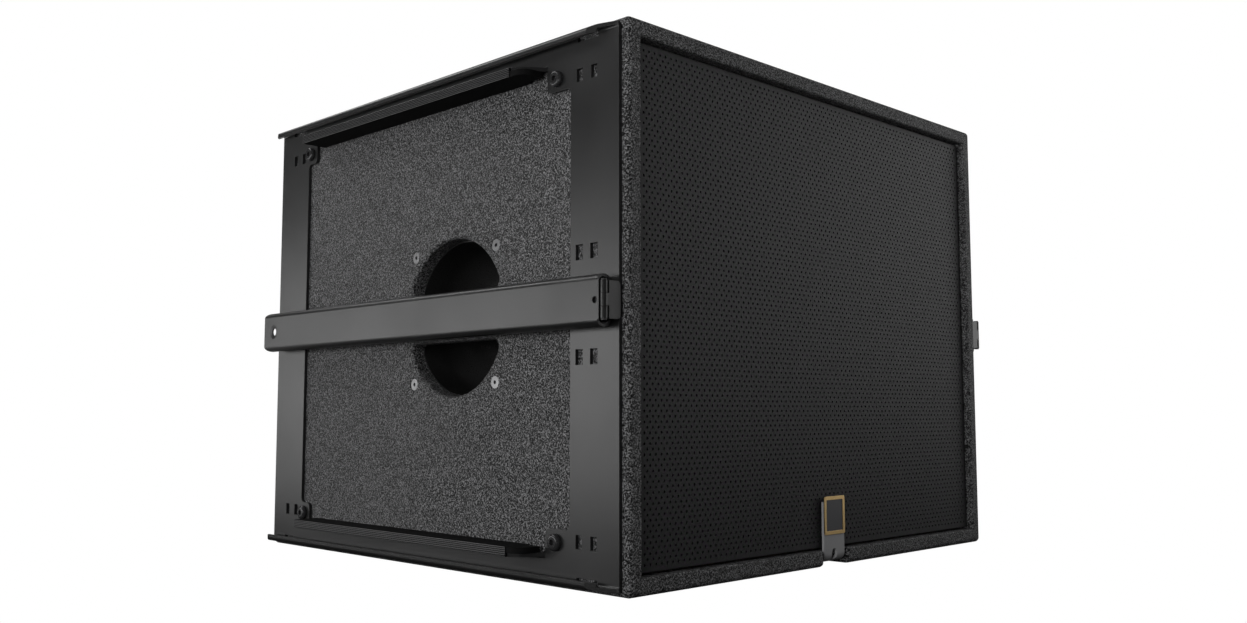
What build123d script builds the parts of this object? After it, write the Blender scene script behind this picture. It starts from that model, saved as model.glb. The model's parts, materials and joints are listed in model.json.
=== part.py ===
from build123d import *
import os
from math import cos, radians, sin

# All sizes are in millimetres. X runs from left to right as seen from the front, Y from the front to the
# back and Z up. The origin is under the middle of the cabinet, at the level of the feet.

# Cabinet
CABINET_WIDTH = 674.0
CABINET_DEPTH = 670.0
CABINET_HEIGHT = 560.0
FOOT_HEIGHT = 4.0
PLY = 18.0
EDGE_RADIUS = 6.0
RIM_EASE = 1.5
REAR_RECESS = 10.0
BAFFLE_THICK = 24.0
BAFFLE_SETBACK = 65.0
BRACE_Y = (120.0, 138.0)
BRACE_BORDER = 55.0
BRACE_BAR = 25.0
BRACE_CORNER = 25.0
LINING_THICK = 20.0
LINING_HALF = (300.0, 245.0)
LINING_OPENING_HALF = (70.0, 90.0)

LEFT = -CABINET_WIDTH / 2
FRONT = -CABINET_DEPTH / 2
BACK = CABINET_DEPTH / 2
BOTTOM = FOOT_HEIGHT
TOP = FOOT_HEIGHT + CABINET_HEIGHT
MIDDLE = FOOT_HEIGHT + CABINET_HEIGHT / 2
INSIDE_X = CABINET_WIDTH / 2 - PLY
INSIDE_Z = CABINET_HEIGHT / 2 - PLY
BAFFLE_FRONT = FRONT + BAFFLE_SETBACK
BAFFLE_BACK = BAFFLE_FRONT + BAFFLE_THICK
REAR_OUTSIDE = BACK - REAR_RECESS
REAR_INSIDE = REAR_OUTSIDE - PLY

# Grille and badge
GRILLE_SETBACK = 8.0
GRILLE_SHEET = 1.5
GRILLE_GAP = 2.5
GRILLE_RETURN = 16.0
GRILLE_CORNER = 6.0
GRILLE_FRAME_THICK = 12.0
GRILLE_FRAME_BORDER = 16.0
FOAM_GAP = 0.5
FOAM_BORDER = 7.0
FOAM_THICK = 10.0
BADGE_HALF_WIDTH = 20.0
BADGE_Z = (39.0, 82.0)
BADGE_THICK = 1.2
BADGE_CORNER = 2.0
BADGE_BORDER = 4.0
BADGE_FIELD_DEPTH = 0.5
BRACKET_FRONT = FRONT + 3.0
BRACKET_THICK = 3.0
BRACKET_TOP = 76.0
BRACKET_BEND = 9.5
BRACKET_FLOOR = BOTTOM + 4.0
BRACKET_BACK = FRONT + 32.0
BRACKET_SLOT_Z = (10.5, 23.0)
BRACKET_SLOT_WIDTH = 9.5
BRACKET_SCREW_Y = FRONT + 24.0
BRACKET_SCREW_HEAD = 4.5
BRACKET_SCREW_RADIUS = 2.0
BRACKET_SCREW_LENGTH = 11.0
NOTCH_HALF_WIDTH = 26.5
NOTCH_BACK = FRONT + 35.0
NOTCH_EASE = 2.5

# Hand hold
HANDLE_BACK = 277.0
HANDLE_RADIUS = 88.5
GRIP_HALF_HEIGHT = 27.5
GRIP_CORNER = 9.0
GRIP_ROUND = 4.0
HANDLE_SCREW_OFFSET = 74.1
HANDLE_SINK_RADIUS = 8.0
HANDLE_HEAD_RADIUS = 6.7
M6_RADIUS = 3.0
M6_HOLE = 3.3
CUP_RADIUS = 87.0
CUP_WALL = 3.0
CUP_DEPTH = 77.0
CUP_ROUND = 42.0
CUP_FLANGE_HALF = 93.0
CUP_FLANGE = 3.0
CUP_BOSS_RADIUS = 7.0
CUP_BOSS = 12.0
CUP_FLANGE_CORNER = 12.0
HANDLE_SCREW_LENGTH = 28.0

# Side plate, measured out from the panel, back from the front face and up from mid-height
PLATE_SHEET = 4.0
PLATE_BACK = (9.0, 661.0)
PLATE_HALF_HEIGHT = 275.0
PLATE_FLANGE = 15.0
FLANGE_RETURN = 8.0
RETURN_BEND = 5.0
FRONT_TAPER_BACK = (12.0, 45.0)
REAR_BEVEL = 3.0
BEND_OUTER = 6.0
BEND_INNER = 2.0
WINDOW_BACK = (78.0, 592.0)
WINDOW_HALF_HEIGHT = 246.0
LUG_BACK = (114.0, 572.0)
LUG_HEIGHT = 221.5
LUG_CORNER = 6.0
LIP_OUT = 30.0
LIP_FRONT = 116.0
LIP_WAIST = 9.0
LIP_SHOULDER = 24.0
LIP_SHOULDER_ROUND = 7.0
LIP_FRONT_SWEEP = (2.0, 13.0)
LIP_REAR_SWEEP = (29.0, 9.0)
LIP_BEND_EASE = (0.5, 0.1)
CORNER_SLOT = (8.5, 13.5)
CORNER_SLOT_HEIGHT = 232.0
MIDDLE_SLOT = (10.3, 15.3)
MIDDLE_SLOT_HEIGHT = 52.0
FRONT_SLOTS_BACK = (44.0, 65.0)
REAR_SLOTS_BACK = (605.0, 626.0)
EDGE_SLOTS_BACK = ((38.0, 68.0), (602.0, 632.0))
EDGE_SLOT_OUT = 9.0
EDGE_SLOT_HEIGHT = 266.0
PLATE_SCREW_BACK = (98.5, 586.0)
PLATE_SCREW_HEIGHT = 234.5
BUTTON_RADIUS = 8.75
BUTTON_HEIGHT = 5.5
M10_RADIUS = 5.0
M10_HOLE = 5.1
M10_LENGTH = 20.0

# Ribbed rail
RAIL_BACK = (142.0, 559.0)
RAIL_OUT = 33.0
RAIL_HEIGHT = (240.0, 250.0)
RIB_PITCH = 1.9
RIB_CUT = 0.8
RIB_COUNT = 5
NOSE_LENGTH = 22.0
NOSE_OUT = (6.0, 32.0)
NOSE_ROUND = 14.0

# Side bar and its hinge
BAR_OUT = (9.0, 27.0)
BAR_FLAT_HALF = 19.0
BAR_CAP = 6.5
BAR_WALL = 3.0
BAR_BACK = (15.5, 658.0)
BAR_WEB_FRONT = 13.5
BAR_REAR_CORNER = 7.5
BAR_PIN_BACK = 634.0
BAR_PIN_RADIUS = 5.0
BAR_SINK_RADIUS = 9.0
BAR_SINK = 1.2
BAR_VENT_BACK = 19.0
BAR_VENT_RADIUS = 3.25
HINGE_OUT = 23.5
HINGE_BACK = 9.75
BARREL_RADIUS = 3.4
BARREL_HALF = 18.3
KNUCKLE_HALF = 6.0
KNUCKLE_GAP = 0.3
BARREL_CLEARANCE = 0.35
HINGE_PIN_RADIUS = 1.9
HINGE_BORE = 1.95
PIN_HEAD_RADIUS = 2.8
PIN_HEAD = 1.0
FIXED_LEAF_BACK = (6.5, 9.5)
FIXED_LEAF_TAB = (9.0, 32.0)
FIXED_LEAF_CORNER = 5.0
BAR_LEAF_BACK = 45.0
CATCH_OUT = (4.0, 12.0)
CATCH_BACK = (598.0, 646.0)
CATCH_HALF_HEIGHT = 14.0
CATCH_RADIUS = 5.0
CATCH_CORNER = 3.0

# Driver, profiles in (radius, distance behind the baffle's front face)
DRIVER_CUTOUT = 212.0
DRIVER_SCREW_RADIUS = 221.0
DRIVER_SCREW_COUNT = 8
DRIVER_SCREW_HOLE = 4.1
DRIVER_SCREW_SLOT = 4.3
DRIVER_SCREW_HEAD = (6.5, 8.0)
DRIVER_SCREW_SHANK = 4.0
DRIVER_SCREW_LENGTH = 30.0
FLANGE_THICK = 8.0
BASKET_FLANGE = ((203, -FLANGE_THICK), (230, -FLANGE_THICK), (230, 0), (211, 0), (211, 16))
BASKET_PLATFORM = ((124, 118), (124, 130), (60, 130), (60, 124), (116, 124), (116, 114))
BASKET_LEDGE = ((126, 102), (110, 102), (110, 97), (130.5, 97), (203, 12))
BASKET_WINDOW_COUNT = 8
BASKET_WINDOW_WIDTH = 78.0
BASKET_WINDOW_Y = (24.0, 92.0)
BASKET_WINDOW_RADIUS = (110.0, 260.0)
GASKET_RADIUS = (204.0, 213.5)
GASKET_Y = (-13.0, -9.6)
COIL_RADIUS = 50.0
COIL_FORMER = 49.2
COIL_WINDING = 51.5
WINDING_GRIP = 0.2
COIL_Y = (60.0, 150.0)
WINDING_Y = (124.0, 148.0)
CONE_LIP = (171.0, 180.0)
CONE_SKIN = 1.6
CONE_FRONT = -8.0
CONE_BACK = 64.6
ROLL_SEAT = -8.1
ROLL_CENTRE = 192.0
ROLL_RADIUS = 12.0
ROLL_SKIN = 1.4
SPIDER_WAVES = 5
SPIDER_RADIUS = (54.0, 106.0)
SPIDER_Y = 95.0
SPIDER_SKIN = 0.8
SPIDER_FIT = 0.15
SPIDER_SWING = 3.0
SPIDER_LEDGE = ((125, 96.9), (110, 96.9))
MAGNET_PLATE = ((52.6, 124.0), (130.0, 142.0))
MAGNET_RING = ((62.0, 122.0), (142.0, 166.0))
POLE_PROFILE = ((15, 130), (48.5, 130), (48.5, 166), (118, 166), (118, 178), (15, 178))
TERMINAL_HALF_WIDTH = 17.0
TERMINAL_Y = (119.0, 129.0)
TERMINAL_HEIGHT = (118.0, 138.0)
DUST_CAP_EDGE = 64.0
DUST_CAP_FRONT = 36.0
DUST_CAP_SKIN = 1.4
DUST_CAP_BALL = 122.8

# Ports
PORT_X = 262.0
PORT_Z = 205.0
PORT_BORE = 50.0
PORT_OUTER = 53.0
PORT_HOLE = 53.2
PORT_FLANGE = 55.5
PORT_FLANGE_THICK = 3.0
PORT_LENGTH = 160.0

# Rear connector plate
CONNECTOR_PLATE = (100.0, 150.0)
CONNECTOR_SHEET = 3.0
CONNECTOR_CORNER = 6.0
CONNECTOR_CUTOUT_HALF = (40.0, 55.0)
CONNECTOR_SCREW = (42.0, 67.0)
PLATE_SCREW_HEAD = (4.5, 2.6)
PLATE_SCREW_RADIUS = 2.3
PLATE_SCREW_LENGTH = 16.0
PLATE_SCREW_HOLE = 2.7
SOCKET_OFFSET = 32.0
SOCKET_BODY = 12.0
SOCKET_HOLE = 12.2
SOCKET_BORE = 8.5
SOCKET_BORE_DEPTH = 16.0
SOCKET_FLANGE = (26.0, 31.0)
SOCKET_FLANGE_THICK = 2.0
SOCKET_DEPTH = 28.0
SOCKET_SCREW = (9.5, 12.0)
SOCKET_SCREW_HEAD = (2.8, 1.8)
SOCKET_SCREW_RADIUS = 1.5
SOCKET_SCREW_HOLE = 1.6
SOCKET_SCREW_LENGTH = 5.0
SOCKET_CORNER = 3.0
SOCKET_TAG = 4.0
LEAD_RADIUS = 2.0
LEAD_X = 6.0
LEAD_HEIGHT = 130.0
LEAD_TURN_Y = 240.0
LINK_DEPTH = 22.0
LEAD_BEND = 16.0

# Feet
FOOT_X = 280.0
FOOT_Y = 270.0
FOOT_RADIUS = 15.0
FOOT_SINK = 1.0
FOOT_SINK_RADIUS = 4.6
FOOT_HOLE = 2.3
FOOT_SCREW_HEAD = 4.5
FOOT_SCREW_RADIUS = 2.2
FOOT_SCREW_LENGTH = 16.0

# Screw heads: the key's half width as a share of the head's radius, its depth and the head's rounding as
# shares of the head's height
SUNK_KEY_SHARE = 0.3
CAP_KEY_SHARE = 0.34
KEY_DEPTH_SHARE = 0.6
HEAD_ROUND_SHARE = 0.6
SCREW_BASE = (Align.CENTER, Align.CENTER, Align.MIN)


def block(x, y, z):
    """A block between three pairs of limits."""
    centre = ((x[0] + x[1]) / 2, (y[0] + y[1]) / 2, (z[0] + z[1]) / 2)
    return Pos(*centre) * Box(x[1] - x[0], y[1] - y[0], z[1] - z[0])


def centred_block(half_size, y):
    """A block centred on the cabinet's front view, from its half width and half height."""
    half_x, half_z = half_size
    return block((-half_x, half_x), y, (MIDDLE - half_z, MIDDLE + half_z))


def cross_board(y):
    """A board that fills the cabinet's inside from wall to wall."""
    return centred_block((INSIDE_X, INSIDE_Z), y)


def side_block(out, back, height):
    """A block on the left side: out from the panel, back from the front face, up from mid-height."""
    x = (LEFT - out[1], LEFT - out[0])
    y = (FRONT + back[0], FRONT + back[1])
    z = (MIDDLE + height[0], MIDDLE + height[1])
    return block(x, y, z)


def side_point(out, back, height):
    """A point on the left side, in the same three distances."""
    return (LEFT - out, FRONT + back, MIDDLE + height)


def rod(start, direction, radius, length):
    """A round bar that starts at a point and runs along a direction."""
    return extrude(Plane(origin=start, z_dir=direction) * Circle(radius), amount=length)


def countersunk_screw(top, direction, head_radius, shank_radius, length):
    """A flat-headed screw with a hexagon socket; the direction is the way its shank goes."""
    place = Plane(origin=top, z_dir=direction)
    head_depth = head_radius - shank_radius
    head = place * Cone(head_radius, shank_radius, head_depth, align=SCREW_BASE)
    key = place * RegularPolygon(head_radius * SUNK_KEY_SHARE, 6, major_radius=False)
    socket = extrude(key, amount=head_depth * KEY_DEPTH_SHARE)
    return head + rod(top, direction, shank_radius, length) - socket


def capped_screw(seat, direction, head_radius, head_height, shank_radius, length):
    """A round-headed screw with a hexagon socket; the seat is under its head."""
    place = Plane(origin=seat, z_dir=direction)
    head = place * Cylinder(head_radius, head_height, align=(Align.CENTER, Align.CENTER, Align.MAX))
    rim = head.edges().filter_by(GeomType.CIRCLE).sort_by(Axis(seat, direction))[0]
    head = fillet(rim, head_height * HEAD_ROUND_SHARE)
    key = place.offset(-head_height) * RegularPolygon(head_radius * CAP_KEY_SHARE, 6, major_radius=False)
    socket = extrude(key, amount=head_height * KEY_DEPTH_SHARE)
    return head + rod(seat, direction, shank_radius, length) - socket


def side_profile(points):
    """A flat outline on the left side, in (out, up), to be run from front to back."""
    place = Plane(origin=(LEFT, FRONT, MIDDLE), x_dir=(-1, 0, 0), z_dir=(0, 1, 0))
    return place * Polygon(*points, align=None)


def vertices_near(sketch, points, reach=0.1):
    """The corners of a flat outline that lie at the given points."""
    return [v for v in sketch.vertices() if any((Vector(v) - Vector(*p)).length < reach for p in points)]


def mirrored(shape):
    """The same shape on the other side of the cabinet."""
    return mirror(shape, about=Plane.YZ)


def run(outline, direction, length):
    """A flat outline drawn out along a direction."""
    return extrude(outline, amount=length, dir=direction)


# ---- cabinet ----

def rim_ease():
    """The mitred bevel that eases the inner edge of the front rim."""
    place = Plane(origin=(0, FRONT, MIDDLE), x_dir=(1, 0, 0), z_dir=(0, 1, 0))
    opening = place * Rectangle(2 * (INSIDE_X + RIM_EASE), 2 * (INSIDE_Z + RIM_EASE))
    return extrude(opening, amount=RIM_EASE, taper=45)


def grip_opening():
    """One of the two D-shaped openings of the hand hold, above the grip strip."""
    place = Plane(origin=side_point(0, HANDLE_BACK, 0), x_dir=(0, 1, 0), z_dir=(1, 0, 0))
    upper = Pos(0, GRIP_HALF_HEIGHT + HANDLE_RADIUS) * Rectangle(3 * HANDLE_RADIUS, 2 * HANDLE_RADIUS)
    opening = fillet((Circle(HANDLE_RADIUS) & upper).vertices(), GRIP_CORNER)
    return extrude(place * opening, amount=PLY)


def handle_screw_points(out):
    """The centres of the four screws round the hand hold."""
    offsets = (-HANDLE_SCREW_OFFSET, HANDLE_SCREW_OFFSET)
    return [side_point(out, HANDLE_BACK + back, up) for back in offsets for up in offsets]


def side_panel():
    panel = block((LEFT, LEFT + PLY), (FRONT, BACK), (BOTTOM, TOP))
    outer_face = panel.faces().sort_by(Axis.X)[0]
    panel = fillet(outer_face.edges() + panel.edges().filter_by(Axis.X), EDGE_RADIUS)
    opening = grip_opening()
    lower_opening = mirror(opening, about=Plane(origin=(0, 0, MIDDLE), z_dir=(0, 0, 1)))
    panel = panel - opening - lower_opening
    outer_face = panel.faces().filter_by(Plane.YZ).sort_by(Axis.X)[0]
    panel = fillet([edge for wire in outer_face.inner_wires() for edge in wire.edges()], GRIP_ROUND)
    for point in handle_screw_points(0):
        place = Plane(origin=point, z_dir=(1, 0, 0))
        sink_depth = HANDLE_SINK_RADIUS - M6_HOLE
        panel -= place * Cone(HANDLE_SINK_RADIUS, M6_HOLE, sink_depth, align=SCREW_BASE)
        panel -= rod(point, (1, 0, 0), M6_HOLE, PLY)
    for back in PLATE_SCREW_BACK:
        for up in (-PLATE_SCREW_HEIGHT, PLATE_SCREW_HEIGHT):
            panel -= rod(side_point(0, back, up), (1, 0, 0), M10_HOLE, PLY - 1)
    return panel - rim_ease()


def top_panel():
    panel = block((-INSIDE_X, INSIDE_X), (FRONT, BACK), (TOP - PLY, TOP))
    outer_face = panel.faces().sort_by(Axis.Z)[-1]
    panel = fillet(outer_face.edges().filter_by(Axis.X), EDGE_RADIUS)
    return panel - rim_ease()


def badge_notch():
    """The rebate in the bottom rim that the badge bracket hooks into, with rounded inner bend."""
    corners = (
        (FRONT - 1, BOTTOM + PLY + 1),
        (BRACKET_FRONT + BRACKET_THICK, BOTTOM + PLY + 1),
        (BRACKET_FRONT + BRACKET_THICK, BRACKET_FLOOR + BRACKET_THICK),
        (NOTCH_BACK, BRACKET_FLOOR + BRACKET_THICK),
        (NOTCH_BACK, BOTTOM - 1),
        (FRONT - 1, BOTTOM - 1),
    )
    outline = Plane.YZ * Polygon(*corners, align=None)
    inner = (0, BRACKET_FRONT + BRACKET_THICK, BRACKET_FLOOR + BRACKET_THICK)
    outline = fillet(vertices_near(outline, [inner]), BRACKET_BEND - BRACKET_THICK)
    return extrude(outline, amount=NOTCH_HALF_WIDTH, both=True)


def notch_corner(side):
    """The bevel at a lower end of the notch."""
    edge = side * NOTCH_HALF_WIDTH
    corners = ((edge, BOTTOM), (edge + side * NOTCH_EASE, BOTTOM), (edge, BOTTOM + NOTCH_EASE))
    place = Plane(origin=(0, FRONT, 0), x_dir=(1, 0, 0), z_dir=(0, -1, 0))
    return run(place * Polygon(*corners, align=None), (0, 1, 0), EDGE_RADIUS)


def bottom_panel():
    panel = block((-INSIDE_X, INSIDE_X), (FRONT, BACK), (BOTTOM, BOTTOM + PLY))
    outer_face = panel.faces().sort_by(Axis.Z)[0]
    panel = fillet(outer_face.edges().filter_by(Axis.X), EDGE_RADIUS)
    panel = panel - rim_ease() - badge_notch() - notch_corner(-1) - notch_corner(1)
    pilot_top = (0, BRACKET_SCREW_Y, BRACKET_FLOOR)
    panel -= rod(pilot_top, (0, 0, 1), BRACKET_SCREW_RADIUS, BRACKET_SCREW_LENGTH + 1)
    for x, y in foot_places():
        panel -= rod((x, y, BOTTOM), (0, 0, 1), FOOT_SCREW_RADIUS, FOOT_SCREW_LENGTH - 2)
    return panel


def rear_panel():
    panel = cross_board((REAR_INSIDE, REAR_OUTSIDE))
    panel -= centred_block(CONNECTOR_CUTOUT_HALF, (REAR_INSIDE, REAR_OUTSIDE))
    for x, z in connector_screw_places():
        panel -= rod((x, REAR_OUTSIDE, z), (0, -1, 0), PLATE_SCREW_RADIUS, PLATE_SCREW_LENGTH)
    return panel


def port_places():
    """The centres of the four ports, by name."""
    rows = {"upper": MIDDLE + PORT_Z, "lower": MIDDLE - PORT_Z}
    columns = {"left": -PORT_X, "right": PORT_X}
    return {f"{row}_{column}": (x, z) for row, z in rows.items() for column, x in columns.items()}


def driver_screw_places():
    """The centres of the driver's screws, on the baffle's front face."""
    turn = 360 / DRIVER_SCREW_COUNT
    angles = [radians(turn * (index + 0.5)) for index in range(DRIVER_SCREW_COUNT)]
    return [(DRIVER_SCREW_RADIUS * cos(a), MIDDLE + DRIVER_SCREW_RADIUS * sin(a)) for a in angles]


def front_baffle():
    baffle = cross_board((BAFFLE_FRONT, BAFFLE_BACK))
    baffle -= rod((0, BAFFLE_FRONT, MIDDLE), (0, 1, 0), DRIVER_CUTOUT, BAFFLE_THICK)
    for x, z in port_places().values():
        baffle -= rod((x, BAFFLE_FRONT, z), (0, 1, 0), PORT_HOLE, BAFFLE_THICK)
    for x, z in driver_screw_places():
        baffle -= rod((x, BAFFLE_FRONT, z), (0, 1, 0), DRIVER_SCREW_HOLE, BAFFLE_THICK)
    return baffle


def brace():
    panel = cross_board(BRACE_Y)
    width = 2 * (INSIDE_X - BRACE_BORDER)
    height = INSIDE_Z - BRACE_BORDER - BRACE_BAR
    for side in (-1, 1):
        centre = MIDDLE + side * (BRACE_BAR + height / 2)
        place = Plane(origin=(0, BRACE_Y[0], centre), x_dir=(1, 0, 0), z_dir=(0, 1, 0))
        opening = place * RectangleRounded(width, height, BRACE_CORNER)
        panel -= extrude(opening, amount=BRACE_Y[1] - BRACE_Y[0])
    return panel


def rear_lining():
    """A felt sheet on the inside of the rear panel, open round the connectors."""
    y = (REAR_INSIDE - LINING_THICK, REAR_INSIDE)
    lining = centred_block(LINING_HALF, y)
    return lining - centred_block(LINING_OPENING_HALF, y)


def port_tube(centre):
    x, z = centre
    tube = rod((x, BAFFLE_FRONT, z), (0, 1, 0), PORT_OUTER, PORT_LENGTH)
    mouth = (x, BAFFLE_FRONT - PORT_FLANGE_THICK, z)
    tube += rod(mouth, (0, 1, 0), PORT_FLANGE, PORT_FLANGE_THICK)
    return tube - rod(mouth, (0, 1, 0), PORT_BORE, PORT_LENGTH + PORT_FLANGE_THICK)


def foot_places():
    return [(x, y) for x in (-FOOT_X, FOOT_X) for y in (-FOOT_Y, FOOT_Y)]


def feet():
    """Four low rubber feet, each with a countersunk hole."""
    made = []
    for x, y in foot_places():
        foot = rod((x, y, 0), (0, 0, 1), FOOT_RADIUS, FOOT_HEIGHT)
        foot -= rod((x, y, 0), (0, 0, 1), FOOT_HOLE, FOOT_HEIGHT)
        foot -= rod((x, y, 0), (0, 0, 1), FOOT_SINK_RADIUS, FOOT_SINK)
        sink_depth = FOOT_SINK_RADIUS - FOOT_HOLE
        foot -= Pos(x, y, FOOT_SINK) * Cone(FOOT_SINK_RADIUS, FOOT_HOLE, sink_depth, align=SCREW_BASE)
        made.append(foot)
    return Compound(children=made)


def foot_screws():
    made = []
    for x, y in foot_places():
        top = (x, y, FOOT_SINK)
        made.append(
            countersunk_screw(top, (0, 0, 1), FOOT_SCREW_HEAD, FOOT_SCREW_RADIUS, FOOT_SCREW_LENGTH)
        )
    return Compound(children=made)


# ---- grille and badge ----

def front_grille():
    """The grille tray, without its perforation."""
    half_x, half_z = INSIDE_X - GRILLE_GAP, INSIDE_Z - GRILLE_GAP
    place = Plane(origin=(0, FRONT + GRILLE_SETBACK, MIDDLE), x_dir=(1, 0, 0), z_dir=(0, 1, 0))
    tray = extrude(place * RectangleRounded(2 * half_x, 2 * half_z, GRILLE_CORNER), amount=GRILLE_RETURN)
    inner_place = place.offset(GRILLE_SHEET)
    inner = RectangleRounded(
        2 * (half_x - GRILLE_SHEET), 2 * (half_z - GRILLE_SHEET), GRILLE_CORNER - GRILLE_SHEET
    )
    return tray - extrude(inner_place * inner, amount=GRILLE_RETURN)


def grille_frame():
    start = FRONT + GRILLE_SETBACK + GRILLE_RETURN
    y = (start, start + GRILLE_FRAME_THICK)
    opening_half = (INSIDE_X - GRILLE_FRAME_BORDER, INSIDE_Z - GRILLE_FRAME_BORDER)
    return cross_board(y) - centred_block(opening_half, y)


def acoustic_foam():
    start = FRONT + GRILLE_SETBACK + GRILLE_SHEET + FOAM_GAP
    return centred_block((INSIDE_X - FOAM_BORDER, INSIDE_Z - FOAM_BORDER), (start, start + FOAM_THICK))


def badge_bracket():
    """A bent strip behind the badge that hooks round the bottom rim, with a slot through its bend."""
    front, back = BRACKET_FRONT, BRACKET_FRONT + BRACKET_THICK
    floor, upper = BRACKET_FLOOR, BRACKET_FLOOR + BRACKET_THICK
    corners = (
        (front, BRACKET_TOP),
        (back, BRACKET_TOP),
        (back, upper),
        (BRACKET_BACK, upper),
        (BRACKET_BACK, floor),
        (front, floor),
    )
    outline = Plane.YZ * Polygon(*corners, align=None)
    outline = fillet(vertices_near(outline, [(0, front, floor)]), BRACKET_BEND)
    outline = fillet(vertices_near(outline, [(0, back, upper)]), BRACKET_BEND - BRACKET_THICK)
    strip = extrude(outline, amount=BADGE_HALF_WIDTH, both=True)
    slot_height = BRACKET_SLOT_Z[1] - BRACKET_SLOT_Z[0]
    slot_centre = (BRACKET_SLOT_Z[0] + BRACKET_SLOT_Z[1]) / 2
    place = Plane(origin=(0, front - 1, slot_centre), x_dir=(0, 0, 1), z_dir=(0, 1, 0))
    strip -= extrude(place * SlotOverall(slot_height, BRACKET_SLOT_WIDTH), amount=BRACKET_BEND + 1)
    sink = Plane(origin=(0, BRACKET_SCREW_Y, floor), z_dir=(0, 0, 1))
    sink_depth = BRACKET_SCREW_HEAD - BRACKET_SCREW_RADIUS
    strip -= sink * Cone(BRACKET_SCREW_HEAD, BRACKET_SCREW_RADIUS, sink_depth, align=SCREW_BASE)
    return strip - rod((0, BRACKET_SCREW_Y, floor), (0, 0, 1), BRACKET_SCREW_RADIUS, BRACKET_THICK)


def bracket_screw():
    top = (0, BRACKET_SCREW_Y, BRACKET_FLOOR)
    return countersunk_screw(
        top, (0, 0, 1), BRACKET_SCREW_HEAD, BRACKET_SCREW_RADIUS, BRACKET_SCREW_LENGTH
    )


def badge_plate():
    """The badge, a plain plate with a raised border."""
    y = (BRACKET_FRONT - BADGE_THICK, BRACKET_FRONT)
    plate = block((-BADGE_HALF_WIDTH, BADGE_HALF_WIDTH), y, BADGE_Z)
    plate = fillet(plate.edges().filter_by(Axis.Y), BADGE_CORNER)
    field_half = BADGE_HALF_WIDTH - BADGE_BORDER
    field_z = (BADGE_Z[0] + BADGE_BORDER, BADGE_Z[1] - BADGE_BORDER)
    return plate - block((-field_half, field_half), (y[0], y[0] + BADGE_FIELD_DEPTH), field_z)


# ---- hand hold ----

def handle_cup():
    """A moulded cup behind the hand hold, with a square flange and four screw bosses."""
    place = Plane(origin=side_point(-PLY, HANDLE_BACK, 0), x_dir=(0, 1, 0), z_dir=(1, 0, 0))
    square = RectangleRounded(2 * CUP_FLANGE_HALF, 2 * CUP_FLANGE_HALF, CUP_FLANGE_CORNER)
    flange = extrude(place * square, amount=CUP_FLANGE)
    bowl = place * Cylinder(CUP_RADIUS + CUP_WALL, CUP_DEPTH, align=SCREW_BASE)
    bowl = fillet(bowl.edges().filter_by(GeomType.CIRCLE).sort_by(Axis.X)[-1], CUP_ROUND + CUP_WALL)
    hollow = place * Cylinder(CUP_RADIUS, CUP_DEPTH - CUP_WALL, align=SCREW_BASE)
    hollow = fillet(hollow.edges().filter_by(GeomType.CIRCLE).sort_by(Axis.X)[-1], CUP_ROUND)
    cup = flange + bowl
    for point in handle_screw_points(-PLY):
        cup += rod(point, (1, 0, 0), CUP_BOSS_RADIUS, CUP_FLANGE + CUP_BOSS)
    cup -= hollow
    for point in handle_screw_points(-PLY):
        cup -= rod(point, (1, 0, 0), M6_RADIUS, CUP_FLANGE + CUP_BOSS - 2)
    return cup


def handle_screws():
    made = []
    for point in handle_screw_points(HANDLE_HEAD_RADIUS - HANDLE_SINK_RADIUS):
        made.append(
            countersunk_screw(point, (1, 0, 0), HANDLE_HEAD_RADIUS, M6_RADIUS, HANDLE_SCREW_LENGTH)
        )
    return Compound(children=made)


# ---- side plate ----

def plate_half():
    """The upper half of the side plate: sheet, flange bent outward, and its edge bent back down."""
    top, under = PLATE_HALF_HEIGHT, PLATE_HALF_HEIGHT - PLATE_SHEET
    lip = PLATE_FLANGE - PLATE_SHEET
    corners = (
        (0, 0),
        (0, top),
        (PLATE_FLANGE, top),
        (PLATE_FLANGE, top - FLANGE_RETURN),
        (lip, top - FLANGE_RETURN),
        (lip, under),
        (PLATE_SHEET, under),
        (PLATE_SHEET, 0),
    )
    section = side_profile(corners)
    bends = ((0, top, BEND_OUTER), (PLATE_FLANGE, top, RETURN_BEND), (PLATE_SHEET, under, BEND_INNER))
    for out, height, radius in bends:
        section = fillet(vertices_near(section, [side_point(out, 0, height)]), radius)
    half = Pos(0, PLATE_BACK[0], 0) * run(section, (0, 1, 0), PLATE_BACK[1] - PLATE_BACK[0])
    place = Plane(origin=side_point(0, 0, top + 1), x_dir=(-1, 0, 0), z_dir=(0, 0, -1))
    near, far = PLATE_SHEET + 0.5, PLATE_FLANGE + 1
    start, end = FRONT_TAPER_BACK
    front_taper = ((near, 0), (near, start), (PLATE_FLANGE, end), (far, end), (far, 0))
    rear, bevel = PLATE_BACK[1], PLATE_BACK[1] - REAR_BEVEL
    rear_bevel = ((PLATE_FLANGE - REAR_BEVEL, rear), (PLATE_FLANGE, bevel), (far, bevel), (far, rear))
    for outline in (front_taper, rear_bevel):
        half -= run(place * Polygon(*outline, align=None), (0, 0, -1), FLANGE_RETURN + PLATE_SHEET)
    return half


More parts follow.
